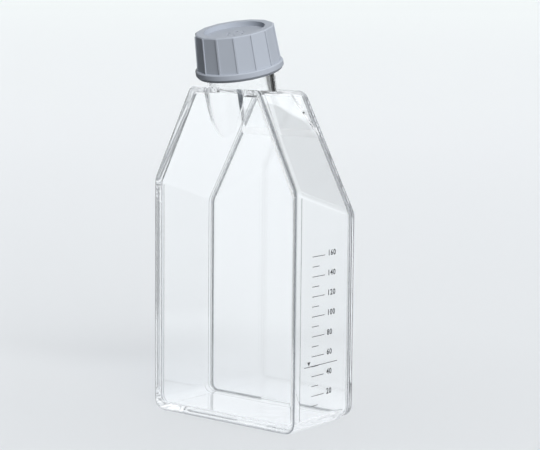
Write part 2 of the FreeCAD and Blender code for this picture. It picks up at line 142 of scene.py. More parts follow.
# parts of the inner rounding's depth: on both sides, and on the plain side only
INNER_BAND = (0.82, 1.0)
PLAIN_SIDE_BAND = (0.2, 0.6)
# degrees from the front, round the bulge, of its two bands of painted shade
BULGE_CREASES = ((-41, -36), (34, 41))

# ------------------------------------------------------------------ printed scale
TICK_PITCH = 8.01 * MM
TICK_FIRST = 14.13 * MM
TICK_LEFT = -7.9 * MM
MAJOR_TICK = 8.0 * MM
MINOR_TICK = 4.4 * MM
TICK_WIDTH = 0.26 * MM
NUMBER_LEFT = 1.9 * MM
NUMBER_HEIGHT = 2.3 * MM
NUMBER_DROP = 0.45 * MM
NUMBERS = (20, 40, 60, 80, 100, 120, 140, 160)
FILL_LINE_HEIGHT = 26.3 * MM
FILL_LINE_ENDS = (-12.6 * MM, 8.8 * MM)
POINTER_WIDTH = 2.0 * MM
POINTER_HEIGHT = 1.6 * MM
POINTER_PLACE = 3.0 * MM
FIGURE_SHARE = 0.729
FIGURE_WEIGHT = 0.03
FIGURE_SPACING = 1.12
FIGURE_STEPS = 3
INK_GAP = 0.01 * MM
INK_DEPTH = 0.03 * MM


# ------------------------------------------------------------------ node helpers
def new_material(name):
    """An empty material with an output node."""
    material = bpy.data.materials.new(name)
    material.use_nodes = True
    tree = material.node_tree
    tree.nodes.clear()
    output = tree.nodes.new("ShaderNodeOutputMaterial")
    return material, tree, output


def add(tree, kind, sockets=None, **settings):
    """A node with its properties set and its sockets fed."""
    node = tree.nodes.new(kind)
    for key, value in settings.items():
        setattr(node, key, value)
    for label, source in (sockets or {}).items():
        feed(tree, node.inputs[label], source)
    return node


def feed(tree, target, source):
    """A link where the source is a socket, or else a plain value."""
    if isinstance(source, bpy.types.NodeSocket):
        tree.links.new(source, target)
    else:
        target.default_value = source


# ------------------------------------------------------------------ shared effects
def new_group(name, inputs, outputs):
    """An empty shader node group with named sockets."""
    group = bpy.data.node_groups.new(name, "ShaderNodeTree")
    for label, kind, value in inputs:
        socket = group.interface.new_socket(name=label, in_out="INPUT", socket_type=kind)
        if value is not None:
            socket.default_value = value
    for label, kind in outputs:
        group.interface.new_socket(name=label, in_out="OUTPUT", socket_type=kind)
    return group, add(group, "NodeGroupInput"), add(group, "NodeGroupOutput")


def moulded_grain():
    """Fine spark-eroded grain and faint flow of moulded plastic, as a height and a mask."""
    group, given, made = new_group(
        "moulded_grain",
        [
            ("Grain per metre", "NodeSocketFloat", 3500.0),
            ("Flow per metre", "NodeSocketFloat", 60.0),
        ],
        [("Height", "NodeSocketFloat"), ("Flow", "NodeSocketFloat")],
    )
    place = add(group, "ShaderNodeTexCoord")
    grain = add(group, "ShaderNodeTexNoise", {
        "Vector": place.outputs["Object"],
        "Scale": given.outputs["Grain per metre"],
        "Detail": 3.0,
        "Roughness": 0.65,
    })
    flow = add(group, "ShaderNodeTexNoise", {
        "Vector": place.outputs["Object"],
        "Scale": given.outputs["Flow per metre"],
        "Detail": 2.0,
        "Distortion": 0.6,
    })
    feed(group, made.inputs["Height"], grain.outputs["Fac"])
    feed(group, made.inputs["Flow"], flow.outputs["Fac"])
    return group


def card_ring(name, cards):
    """Brightness round the flask: white card, with black card where edges want drawing."""
    group, given, made = new_group(
        name,
        [("Direction", "NodeSocketVector", None)],
        [("Level", "NodeSocketFloat")],
    )
    split = add(group, "ShaderNodeSeparateXYZ", {0: given.outputs["Direction"]})
    front = add(group, "ShaderNodeMath", {0: split.outputs["Y"], 1: -1.0}, operation="MULTIPLY")
    around = add(
        group, "ShaderNodeMath", {0: split.outputs["X"], 1: front.outputs[0]}, operation="ARCTAN2"
    )
    span = add(group, "ShaderNodeMapRange", {
        "Value": around.outputs[0],
        "From Min": -math.pi,
        "From Max": math.pi,
    })
    ramp = add(group, "ShaderNodeValToRGB", {"Fac": span.outputs["Result"]})
    paint_ramp(ramp, [((azimuth + 180) / 360, (level,) * 3) for azimuth, level in cards])
    feed(group, made.inputs["Level"], ramp.outputs["Color"])
    return group


def paint_ramp(ramp, stops):
    """Colours along a ramp; the first and last stop take its two ends."""
    elements = ramp.color_ramp.elements
    elements[0].color = stops[0][1] + (1,)
    elements[1].color = stops[-1][1] + (1,)
    for place, colour in stops[1:-1]:
        elements.new(place).color = colour + (1,)


# ------------------------------------------------------------------ materials
def clear_polystyrene():
    """Crystal-clear polystyrene with painted shade, greyer along its corners to stand in for the
    dark lines refraction draws there, that lets lamp light through.
    """
    material, tree, output = new_material("clear_polystyrene")
    corner = add(tree, "ShaderNodeAttribute", attribute_type="GEOMETRY", attribute_name="corner")
    # painted shade: the corner attribute mixes a dark grey into the glass colour along its edges
    tint = add(tree, "ShaderNodeMix", {
        "Factor": corner.outputs["Fac"],
        "A": (0.994, 0.998, 0.999, 1),
        "B": PAINTED_SHADE_COLOUR,
    }, data_type="RGBA")
    shader = add(tree, "ShaderNodeBsdfPrincipled", {
        "Base Color": tint.outputs["Result"],
        "Roughness": 0.0,
        "IOR": 1.59,
        "Transmission Weight": 1.0,
    })
    passing = add(tree, "ShaderNodeBsdfTransparent", {"Color": (0.985, 0.987, 0.99, 1)})
    path = add(tree, "ShaderNodeLightPath")
    either = add(tree, "ShaderNodeMath", {
        0: path.outputs["Is Shadow Ray"],
        1: path.outputs["Is Diffuse Ray"],
    }, operation="MAXIMUM")
    mix = add(tree, "ShaderNodeMixShader", {
        0: either.outputs[0],
        1: shader.outputs[0],
        2: passing.outputs[0],
    })
    feed(tree, output.inputs["Surface"], mix.outputs[0])
    return material


def cap_polyethylene(grain):
    """Blue-grey moulded polyethylene with a satin grain."""
    material, tree, output = new_material("cap_polyethylene")
    effect = add(tree, "ShaderNodeGroup", node_tree=grain)
    feed(tree, effect.inputs["Grain per metre"], 3200.0)
    feed(tree, effect.inputs["Flow per metre"], 45.0)
    tint = add(tree, "ShaderNodeMix", {
        "Factor": effect.outputs["Flow"],
        "A": (0.301, 0.328, 0.374, 1),
        "B": (0.328, 0.356, 0.404, 1),
    }, data_type="RGBA")
    polish = add(tree, "ShaderNodeMapRange", {
        "Value": effect.outputs["Height"],
        "To Min": 0.36,
        "To Max": 0.50,
    })
    bump = add(tree, "ShaderNodeBump", {
        "Height": effect.outputs["Height"],
        "Strength": 0.25,
        "Distance": 0.00003,
    })
    shader = add(tree, "ShaderNodeBsdfPrincipled", {
        "Base Color": tint.outputs["Result"],
        "Roughness": polish.outputs["Result"],
        "Normal": bump.outputs["Normal"],
        "IOR": 1.51,
        "Specular IOR Level": 0.08,
    })
    feed(tree, output.inputs["Surface"], shader.outputs[0])
    return material


def membrane_film(grain):
    """White filter film: a felt of fine crossing fibres over an open weave."""
    material, tree, output = new_material("membrane_film")
    effect = add(tree, "ShaderNodeGroup", node_tree=grain)
    feed(tree, effect.inputs["Grain per metre"], 9000.0)
    feed(tree, effect.inputs["Flow per metre"], 400.0)
    place = add(tree, "ShaderNodeTexCoord")
    pores = add(tree, "ShaderNodeTexVoronoi", feature="DISTANCE_TO_EDGE")
    feed(tree, pores.inputs["Vector"], place.outputs["Object"])
    feed(tree, pores.inputs["Scale"], 2600.0)
    fibre = add(tree, "ShaderNodeMapRange", {
        "Value": pores.outputs["Distance"],
        "From Max": 0.12,
    })
    tint = add(tree, "ShaderNodeMix", {
        "Factor": fibre.outputs["Result"],
        "A": (0.82, 0.82, 0.80, 1),
        "B": (0.70, 0.70, 0.69, 1),
    }, data_type="RGBA")
    height = add(tree, "ShaderNodeMath", {
        0: effect.outputs["Height"],
        1: fibre.outputs["Result"],
    }, operation="SUBTRACT")
    bump = add(tree, "ShaderNodeBump", {
        "Height": height.outputs[0],
        "Strength": 0.6,
        "Distance": 0.00004,
    })
    shader = add(tree, "ShaderNodeBsdfPrincipled", {
        "Base Color": tint.outputs["Result"],
        "Roughness": 0.78,
        "Normal": bump.outputs["Normal"],
    })
    feed(tree, output.inputs["Surface"], shader.outputs[0])
    return material


def scale_ink(grain):
    """Dark grey pad-printed ink, a little thin in places."""
    material, tree, output = new_material("scale_ink")
    effect = add(tree, "ShaderNodeGroup", node_tree=grain)
    feed(tree, effect.inputs["Grain per metre"], 2500.0)
    feed(tree, effect.inputs["Flow per metre"], 300.0)
    tint = add(tree, "ShaderNodeMix", {
        "Factor": effect.outputs["Height"],
        "A": (0.014, 0.015, 0.018, 1),
        "B": (0.035, 0.037, 0.042, 1),
    }, data_type="RGBA")
    shader = add(tree, "ShaderNodeBsdfPrincipled", {
        "Base Color": tint.outputs["Result"],
        "Roughness": 0.55,
    })
    feed(tree, output.inputs["Surface"], shader.outputs[0])
    return material


# ------------------------------------------------------------------ forms
def mark_corners(piece):
    """Write the painted shade of each face of clear plastic, how dark its edge line is, for its
    colour.
    """
    mesh = piece.data
    layer = mesh.attributes.new("corner", "FLOAT", "FACE")
    for face in mesh.polygons:
        layer.data[face.index].value = corner_share(face.center, face.normal, face.area)


def corner_share(place, normal, area):
    """How much painted shade a face gets: most on the rounded outer edges, least on flat walls."""
    along = abs(normal.y)
    rounded = ROUNDED_FROM < along < FLAT_FROM
    outward = normal.y < 0
    below_top = place.z < TOP - TOP_MARGIN
    if rounded and outward and FRONT < place.y < FRONT + EDGE_ROUNDING and below_top:
        return OUTER_EDGE_SHADE
    on_front = abs(place.y - FRONT) < ON_FACE and along > FLAT_FROM
    if on_front and area < STRIP_AREA and below_top:
        return FRONT_STRIP_SHADE
    flange_front = JOINT - FLANGE_DEPTH
    if abs(place.x) > BORE_RADIUS and place.y > flange_front - FLANGE_ROUNDING:
        if rounded and place.y < flange_front + FLANGE_ROUNDING:
            return FLANGE_EDGE_SHADE
        if rounded and place.y < -FRONT - FLANGE_ROUNDING:
            return PLATE_EDGE_SHADE
        if along < FLAT_FROM and place.y > -FRONT - FLANGE_ROUNDING - CORNER_STRIP:
            return OUTER_EDGE_SHADE
    within_bulge = abs(place.x) < BULGE_RADIUS
    if within_bulge and place.z < TOP and place.y < FRONT + WALL:
        facing = -1 if outward else 1
        turned = math.degrees(math.atan2(-facing * normal.x, facing * normal.y))
        if any(low < turned < high for low, high in BULGE_CREASES):
            return BULGE_BAND_SHADE
    near_top = place.z > TOP - NEAR_TOP
    near_side = abs(place.x) > SIDE - NEAR_SIDE
    if near_top or near_side or within_bulge and place.z > SHOULDER:
        return 0.0
    inside = (place.y - FRONT - WALL) / INNER_ROUNDING_DEPTH
    in_band = INNER_BAND[0] < inside < INNER_BAND[1]
    in_plain_band = place.x < 0 and PLAIN_SIDE_BAND[0] < inside < PLAIN_SIDE_BAND[1]
    if normal.y > FACING_BACK and (in_band or in_plain_band):
        return INNER_EDGE_SHADE
    return 0.0


def new_piece(name, mesh, material):
    """An object of one material, put in the scene."""
    piece = bpy.data.objects.new(name, mesh)
    bpy.context.scene.collection.objects.link(piece)
    mesh.materials.clear()
    mesh.materials.append(material)
    return piece


def skinned(name, rows):
    """A closed solid whose skin runs through rows of points, flat at both ends."""
    mesh = bpy.data.meshes.new(name)
    form = bmesh.new()
    rings = [[form.verts.new(point) for point in row] for row in rows]
    count = len(rows[0])
    for ring, after in zip(rings, rings[1:]):
        for i in range(count):
            j = (i + 1) % count
            form.faces.new((ring[i], ring[j], after[j], after[i]))
    form.faces.new(rings[0])
    form.faces.new(rings[-1])
    bmesh.ops.remove_doubles(form, verts=form.verts, dist=MERGE)
    bmesh.ops.dissolve_degenerate(form, edges=form.edges, dist=MERGE)
    bmesh.ops.recalc_face_normals(form, faces=form.faces)
    form.to_mesh(mesh)
    form.free()
    solid = bpy.data.objects.new(name, mesh)
    bpy.context.scene.collection.objects.link(solid)
    return solid


def combined(first, second, operation):
    """Cut, join or intersect two solids; the second one is used up."""
    modifier = first.modifiers.new(operation.lower(), "BOOLEAN")
    modifier.operation = operation
    modifier.solver = "EXACT"
    modifier.object = second
    graph = bpy.context.evaluated_depsgraph_get()
    mesh = bpy.data.meshes.new_from_object(first.evaluated_get(graph))
    first.modifiers.clear()
    first.data = mesh
    bpy.data.objects.remove(second)
    return first


def quarter_round(radius, steps=ARC_STEPS):
    """Inset and depth of points from a flat face round to the side next to it."""
    for step in range(steps + 1):
        turn = math.pi / 2 * step / steps
        yield radius * (1 - math.sin(turn)), radius * (1 - math.cos(turn))


def round_back(radius):
    """The same points in the other order, from the side round to the flat face."""
    return list(quarter_round(radius))[::-1]


def rounded_outline(corners):
    """Points round a polygon whose corners are (x, z, radius, steps), its runs divided."""
    points = []
    for i, (x, z, radius, steps) in enumerate(corners):
        corner = Vector((x, z))
        before = (Vector(corners[i - 1][:2]) - corner).normalized()
        after = (Vector(corners[(i + 1) % len(corners)][:2]) - corner).normalized()
        half = before.angle(after) / 2
        centre = corner + (before + after).normalized() * radius / math.sin(half)
        start = corner + before * radius / math.tan(half) - centre
        turn = start.angle_signed(corner + after * radius / math.tan(half) - centre)
        arc = []
        for step in range(steps + 1):
            arc.append(centre + Matrix.Rotation(-turn * step / steps, 2) @ start)
        if points:
            points += divided(points[-1], arc[0])
        points += arc
    return points + divided(points[-1], points[0])


def divided(start, end):
    """Points between the ends of a straight run."""
    return [start.lerp(end, step / RUN_STEPS) for step in range(1, RUN_STEPS)]


def section(depth, share, inset, bottom, radii):
    """One ring of the flask's outline at a depth.

    share runs from 0 at the front face to 1 at the weld; inset moves the walls
    inwards and makes the corners tighter by as much.
    """
    shoulder = SHOULDER - SHOULDER_FALL * share
    top = TOP - TOP_FALL * share
    half_top = TOP_HALF_FRONT + (TOP_HALF_BACK - TOP_HALF_FRONT) * share
    slant = math.atan2(SIDE - half_top, top - shoulder)
    half = SIDE - inset
    shoulder -= inset * math.tan(slant / 2)
    half_top -= inset * (1 - math.sin(slant)) / math.cos(slant)
    low, mid, high = CORNER_STEPS
    corners = [
        (-half, bottom, radii[0], low),
        (half, bottom, radii[0], low),
        (half, shoulder, radii[1], mid),
        (half_top, top - inset, radii[2], high),
        (-half_top, top - inset, radii[2], high),
        (-half, shoulder, radii[1], mid),
    ]
    return [Vector((point.x, depth, point.y)) for point in rounded_outline(corners)]


def share_at(depth):
    """How far a depth is on its way from the front face to the weld."""
    return (depth - FRONT) / (JOINT - FRONT)


def tighter(radii, inset):
    """Corner radii of an outline that is moved inwards."""
    return [max(radius - inset, SMALLEST_ROUNDING) for radius in radii]


def outside_form():
    """Outside of the moulding: rounded front edge, walls and foot."""
    rows = []
    strip = (EDGE_ROUNDING + CORNER_STRIP, 0)
    for inset, along in [strip] + list(quarter_round(EDGE_ROUNDING)):
        depth = FRONT + along
        radii = tighter(SHELL_RADII, inset)
        rows.append(section(depth, share_at(depth), inset, inset, radii))
    start = FRONT + EDGE_ROUNDING
    for step in range(1, DEPTH_STEPS + 1):
        depth = start + (FOOT_END - start) * step / DEPTH_STEPS
        rows.append(section(depth, share_at(depth), 0, 0, SHELL_RADII))
    for depth in (FOOT_END, JOINT - FLANGE_DEPTH, JOINT - FLANGE_ROUNDING):
        rows.append(section(depth, share_at(depth), 0, FOOT_HEIGHT + WELD_GAP, SHELL_RADII))
    return skinned("outside_form", rows)


def plate_form(name, start, end):
    """A flat plate with the outline of the growth plate and softened edges."""
    rows = []
    strip = (0, FLANGE_ROUNDING + CORNER_STRIP)
    front = [(inset, start + along) for inset, along in quarter_round(FLANGE_ROUNDING)]
    back = [(inset, end - along) for inset, along in [strip] + round_back(FLANGE_ROUNDING)]
    for inset, depth in front + back:
        radii = tighter(FLANGE_RADII, inset)
        rows.append(section(depth, 1, inset - OVERHANG, FOOT_HEIGHT + inset, radii))
    return skinned(name, rows)


def cavity_form():
    """The culture space, open through the weld."""
    stretch = INNER_ROUNDING_DEPTH / INNER_ROUNDING
    start = FRONT + WALL
    rings = [
        (inset, start + along * stretch)
        for inset, along in quarter_round(INNER_ROUNDING, INNER_ARC_STEPS)
    ]
    start += INNER_ROUNDING_DEPTH
    for step in range(1, DEPTH_STEPS):
        rings.append((0, start + (JOINT - WELD_FILLET - start) * step / DEPTH_STEPS))
    rings += [(inset, JOINT - along) for inset, along in round_back(WELD_FILLET)]
    rows = []
    for inset, depth in rings:
        radii = tighter(CAVITY_RADII, inset)
        rows.append(section(depth, share_at(depth), WALL + inset, FLOOR_WALL + inset, radii))
    rows.append([point + Vector((0, PAST, 0)) for point in rows[-1]])
    return skinned("cavity_form", rows)


def growth_wall(material):
    """The flat plate that closes the flask and carries the cells."""
    piece = plate_form("growth_wall", JOINT + WELD_GAP, -FRONT)
    piece.data.materials.append(material)
    return piece


# ------------------------------------------------------------------ neck and bulge
NECK_FOOT = Vector((0, NECK_Y, TOP - TOP_FALL * share_at(NECK_Y)))
NECK_TURN = Matrix.Rotation(LEAN, 3, "X")
NECK_AXIS = NECK_TURN @ Vector((0, 0, 1))


def round_the_neck(radius, height, turn):
    """A point in the neck's own frame: round its axis and along it."""
    place = Vector((radius * math.cos(turn), radius * math.sin(turn), height))
    return NECK_FOOT + NECK_TURN @ place


def turns_round():
    """Even turns once round the neck, half a step away from its sides."""
    return [2 * math.pi * (i + 0.5) / ROUND_STEPS for i in range(ROUND_STEPS)]


def neck_turned(name, profile):
    """A solid turned round the neck's axis from (radius, height) pairs."""
    rows = []
    for radius, height in profile:
        rows.append([round_the_neck(radius, height, turn) for turn in turns_round()])
    return skinned(name, rows)


def bulge_form(name, radius, length, drop):
    """A cylinder down the neck's axis, cut off along the top wall."""
    normal = Vector((0, TOP_FALL, JOINT - FRONT)).normalized()
    ceiling = NECK_FOOT - Vector((0, 0, drop))
    low, high = [], []
    for turn in turns_round():
        rim = round_the_neck(radius, 0, turn)
        reach = (ceiling - rim).dot(normal) / NECK_AXIS.dot(normal)
        high.append(rim + NECK_AXIS * reach)
        low.append(rim - NECK_AXIS * length)
    return skinned(name, [low, high])


def neck_thread():
    """The raised thread, running out softly at both ends."""
    steps = int(THREAD_STEPS * THREAD_TURNS)
    root = THREAD_ROOT_WIDTH / 2
    flank = THREAD_CREST_WIDTH / 2 * THREAD_FLANK_SHARE
    crest = THREAD_CREST_WIDTH / 2 * THREAD_CREST_SHARE
    inside = NECK_RADIUS - THREAD_ROOT_SINK
    rows = []
    for step in range(steps + 1):
        turn = 2 * math.pi * THREAD_TURNS * step / steps
        height = THREAD_START + THREAD_PITCH * THREAD_TURNS * step / steps
        nearest_end = min(step, steps - step) / steps
        rise = THREAD_HEIGHT * min(1, THREAD_END_RISE + nearest_end * THREAD_RUN_OUT)
        outline = [
            (inside, -root),
            (NECK_RADIUS + rise * THREAD_FLANK_RISE, -flank),
            (NECK_RADIUS + rise, -crest),
            (NECK_RADIUS + rise, crest),
            (NECK_RADIUS + rise * THREAD_FLANK_RISE, flank),
            (inside, root),
        ]
        rows.append([round_the_neck(radius, height + along, turn) for radius, along in outline])
    return skinned("neck_thread", rows)


def ramp_form():
    """The sloping wall from the mouth down to the growth plate."""
    edge = NECK_Y + BORE_RADIUS / math.cos(LEAN) + RAMP_GAP
    thick = WALL / math.cos(RAMP_ANGLE)
    fall = (JOINT - edge) / math.tan(RAMP_ANGLE)
    back_fall = (JOINT - edge - thick) / math.tan(RAMP_ANGLE)
    height = NECK_FOOT.z
    # both ends run past the side walls, and the back edge past the weld
    past_y = math.sin(RAMP_ANGLE) * 2 * PAST
    past_z = math.cos(RAMP_ANGLE) * 2 * PAST
    profile = [
        (edge - past_y, height + past_z),
        (JOINT + past_y, height - fall - past_z),
        (JOINT + past_y, height - back_fall - past_z),
        (edge + thick - past_y, height + past_z),
    ]
    rows = [[Vector((x, y, z)) for y, z in profile] for x in (-SIDE, SIDE)]
    return skinned("ramp_form", rows)


def clear_moulding(material):
    """The one-piece moulding: walls, foot, weld flange, bulge, neck and ramp."""
    solid = outside_form()
    solid = combined(solid, bulge_form("bulge", BULGE_RADIUS, BULGE_LENGTH, BULGE_DROP), "UNION")
    rim = [(inset, NECK_LENGTH - along) for inset, along in round_back(LIP_ROUNDING)]
    lip = [(NECK_RADIUS - inset, height) for inset, height in rim]
    base = [
        (NECK_BASE_RADIUS, -NECK_BASE_RADIUS / 2),
        (NECK_BASE_RADIUS, NECK_BASE_LENGTH),
        (NECK_RADIUS, NECK_BASE_LENGTH + NECK_BASE_RADIUS - NECK_RADIUS),
    ]
    solid = combined(solid, neck_turned("neck", base + lip), "UNION")
    solid = combined(solid, neck_thread(), "UNION")
    flange = plate_form("weld_flange", JOINT - FLANGE_DEPTH, JOINT)
    solid = combined(solid, flange, "UNION")

    space = cavity_form()
    hollow = bulge_form("hollow", BULGE_RADIUS - WALL, BULGE_LENGTH - WALL, WALL)
    space = combined(space, hollow, "UNION")
    mouth = [(BORE_RADIUS, -BORE_RADIUS)]
    mouth += [(BORE_RADIUS + inset, height) for inset, height in rim]
    mouth.append((BORE_RADIUS + LIP_ROUNDING, NECK_LENGTH + PAST))
    space = combined(space, neck_turned("bore", mouth), "UNION")
    space = combined(space, ramp_form(), "DIFFERENCE")
    solid = combined(solid, space, "DIFFERENCE")
    solid.name = "clear_moulding"
    solid.data.materials.clear()
    solid.data.materials.append(material)
    return solid


def shade(piece, angle):
    """Smooth curves, crisp corners, and flat faces that stay flat."""
    mesh = piece.data
    mesh.shade_smooth()
    mesh.set_sharp_from_angle(angle=math.radians(angle))
    weighted = piece.modifiers.new("weighted", "WEIGHTED_NORMAL")
    weighted.keep_sharp = True
    weighted.weight = 50
    graph = bpy.context.evaluated_depsgraph_get()
    finished = bpy.data.meshes.new_from_object(piece.evaluated_get(graph))
    piece.modifiers.clear()
    piece.data = finished


# ------------------------------------------------------------------ cap
def ribbed_cap(material):
    """The screw cap, with its moulded edges softened."""
    form = bmesh.new()
    form.from_mesh(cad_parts["screw_cap"].data)
    bmesh.ops.remove_doubles(form, verts=form.verts, dist=FINE_MERGE)
    bmesh.ops.dissolve_limit(
        form, angle_limit=CAP_FLAT_ANGLE, verts=form.verts, edges=form.edges
    )
    mesh = bpy.data.meshes.new("ribbed_cap")
    form.to_mesh(mesh)
    form.free()
    piece = bpy.data.objects.new("ribbed_cap", mesh)
    bpy.context.scene.collection.objects.link(piece)
    mesh.materials.append(material)
    softened = piece.modifiers.new("softened", "BEVEL")
    softened.width = CAP_BEVEL
    softened.segments = CAP_BEVEL_STEPS
    softened.limit_method = "ANGLE"
    softened.angle_limit = CAP_BEVEL_ANGLE
    softened.use_clamp_overlap = True
    graph = bpy.context.evaluated_depsgraph_get()
    piece.data = bpy.data.meshes.new_from_object(piece.evaluated_get(graph))
    piece.modifiers.clear()
    return piece


# ------------------------------------------------------------------ printing
INK_LOW = SIDE + INK_GAP


def tick_tree(material):
    """Geometry nodes for a ladder of ticks, every second one long."""
    tree = bpy.data.node_groups.new("scale_ticks", "GeometryNodeTree")
    sizes = (
        ("Ticks", "NodeSocketInt", 2 * len(NUMBERS)),
        ("Pitch", "NodeSocketFloat", TICK_PITCH),
        ("Long", "NodeSocketFloat", MAJOR_TICK),
        ("Short", "NodeSocketFloat", MINOR_TICK),
        ("Width", "NodeSocketFloat", TICK_WIDTH),
        ("Depth", "NodeSocketFloat", INK_DEPTH),
    )
    for label, kind, value in sizes:
        socket = tree.interface.new_socket(name=label, in_out="INPUT", socket_type=kind)
        socket.default_value = value
    tree.interface.new_socket(name="Geometry", in_out="OUTPUT", socket_type="NodeSocketGeometry")
    given = add(tree, "NodeGroupInput").outputs
    made = add(tree, "NodeGroupOutput")

    step = add(tree, "ShaderNodeMath", {0: given["Pitch"], 1: 2.0}, operation="DIVIDE")
    upwards = add(tree, "ShaderNodeCombineXYZ", {"Z": step.outputs[0]})
    ladder = add(tree, "GeometryNodeMeshLine", {
        "Count": given["Ticks"],
        "Offset": upwards.outputs[0],
    })
    index = add(tree, "GeometryNodeInputIndex")
    odd = add(tree, "ShaderNodeMath", {0: index.outputs[0], 1: 2.0}, operation="MODULO")
    length = add(tree, "ShaderNodeMapRange", {
        "Value": odd.outputs[0],
        "To Min": given["Short"],
        "To Max": given["Long"],
    })
    size = add(tree, "ShaderNodeCombineXYZ", {
        "X": given["Depth"],
        "Y": length.outputs["Result"],
        "Z": given["Width"],
    })

    bar = add(tree, "GeometryNodeMeshCube", {"Size": (1, 1, 1)})
    from_left = add(tree, "GeometryNodeTransform", {
        "Geometry": bar.outputs["Mesh"],
        "Translation": (0.5, 0.5, 0),
    })
    placed = add(tree, "GeometryNodeInstanceOnPoints", {
        "Points": ladder.outputs["Mesh"],
        "Instance": from_left.outputs["Geometry"],
        "Scale": size.outputs[0],
    })
    real = add(tree, "GeometryNodeRealizeInstances", {"Geometry": placed.outputs["Instances"]})
    inked = add(tree, "GeometryNodeSetMaterial", {
        "Geometry": real.outputs["Geometry"],
        "Material": material,
    })
    feed(tree, made.inputs["Geometry"], inked.outputs["Geometry"])
    return tree


def scale_ticks(material):
    """The ladder of ticks up the side wall, put in its place as one mesh."""
    ladder = bpy.data.objects.new("scale_ticks", bpy.data.meshes.new("scale_ticks"))
    bpy.context.scene.collection.objects.link(ladder)
    modifier = ladder.modifiers.new("ticks", "NODES")
    modifier.node_group = tick_tree(material)
    graph = bpy.context.evaluated_depsgraph_get()
    mesh = bpy.data.meshes.new_from_object(ladder.evaluated_get(graph))
    ladder.modifiers.clear()
    mesh.transform(Matrix.Translation((INK_LOW, TICK_LEFT, TICK_FIRST - TICK_PITCH / 2)))
    ladder.data = mesh
    return ladder


def lettered(text, height):
    """A thin solid of plain figures, standing in the YZ plane and read from +X."""
    curve = bpy.data.curves.new("figures", "FONT")
    curve.body = text
    curve.size = height / FIGURE_SHARE
    curve.extrude = INK_DEPTH / 2
    curve.offset = FIGURE_WEIGHT * height
    curve.space_character = FIGURE_SPACING
    curve.resolution_u = FIGURE_STEPS
    curve.align_x = "LEFT"
    holder = bpy.data.objects.new("figures", curve)
    bpy.context.scene.collection.objects.link(holder)
    graph = bpy.context.evaluated_depsgraph_get()
    mesh = bpy.data.meshes.new_from_object(holder.evaluated_get(graph))
    bpy.data.objects.remove(holder)
    turn = Matrix(((0, 0, 1), (1, 0, 0), (0, 1, 0))).to_4x4()
    mesh.transform(Matrix.Translation((INK_DEPTH / 2, 0, 0)) @ turn)
    return mesh


def scale_numbers(material):
    """The plain numbers beside the long ticks, as one mesh."""
    form = bmesh.new()
    for i, number in enumerate(NUMBERS):
        figures = lettered(str(number), NUMBER_HEIGHT)
        height = TICK_FIRST + TICK_PITCH * i - NUMBER_DROP
        figures.transform(Matrix.Translation((INK_LOW, NUMBER_LEFT, height)))
        form.from_mesh(figures)
    mesh = bpy.data.meshes.new("scale_numbers")
    bmesh.ops.remove_doubles(form, verts=form.verts, dist=FINE_MERGE)
    form.to_mesh(mesh)
    form.free()
    return new_piece("scale_numbers", mesh, material)


def fill_line(material):
    """The long line across the scale, with a plain pointer a line's width above it."""
    left, right = FILL_LINE_ENDS
    half = TICK_WIDTH / 2
    line = [(left, -half), (right, -half), (right, half), (left, half)]
    tip = left + POINTER_PLACE
    foot = 3 * half
    pointer = [
        (tip, foot),
        (tip + POINTER_WIDTH / 2, foot + POINTER_HEIGHT),
        (tip - POINTER_WIDTH / 2, foot + POINTER_HEIGHT),
    ]
    form = bmesh.new()
    for outline in (line, pointer):
        low = [form.verts.new((INK_LOW, y, FILL_LINE_HEIGHT + z)) for y, z in outline]
        high = [form.verts.new((INK_LOW + INK_DEPTH, y, FILL_LINE_HEIGHT + z)) for y, z in outline]
        form.faces.new(low)
        form.faces.new(high)
        for i in range(len(outline)):
            j = (i + 1) % len(outline)
            form.faces.new((low[i], low[j], high[j], high[i]))
    bmesh.ops.recalc_face_normals(form, faces=form.faces)
    mesh = bpy.data.meshes.new("fill_line")
    form.to_mesh(mesh)
    form.free()
    return new_piece("fill_line", mesh, material)


# ------------------------------------------------------------------ studio
VIEW_AZIMUTH = math.radians(39.06)
VIEW_ELEVATION = math.radians(7.72)
VIEW_ROLL = math.radians(0.51)
VIEW_DISTANCE = 0.7938
VIEW_TARGET_ACROSS = 0.00691
VIEW_TARGET_HEIGHT = 0.07879
LENS = 129.83

# name, azimuth from the front, elevation, spread, and light given to a white surface
LAMPS = (
    ("key", 58, 32, 36, 1.58),
    ("side", 125, 20, 40, 0.25),
    ("back", 205, 6, 24, 0.35),
    ("top", 0, 88, 60, 0.04),
)
SKY_FILL = 0.03
BOUNCES = 64

TABLE_REACH = 60.0
# painted shade on the table: distance from the flask and colour, darker near the flask
TABLE_FADE = (
    (0.0, (0.686, 0.709, 0.731)),
    (0.22, (0.742, 0.768, 0.791)),
    (0.65, (0.769, 0.796, 0.820)),
    (1.24, (0.805, 0.832, 0.856)),
    (1.68, (0.817, 0.846, 0.867)),
    (6.26, (0.858, 0.897, 0.903)),
)
TABLE_FADE_END = 8.0
TABLE_GLOSS = 0.04
TABLE_SPILL = 0.12
FAR_COLOUR = (0.888, 0.930, 0.956, 1)

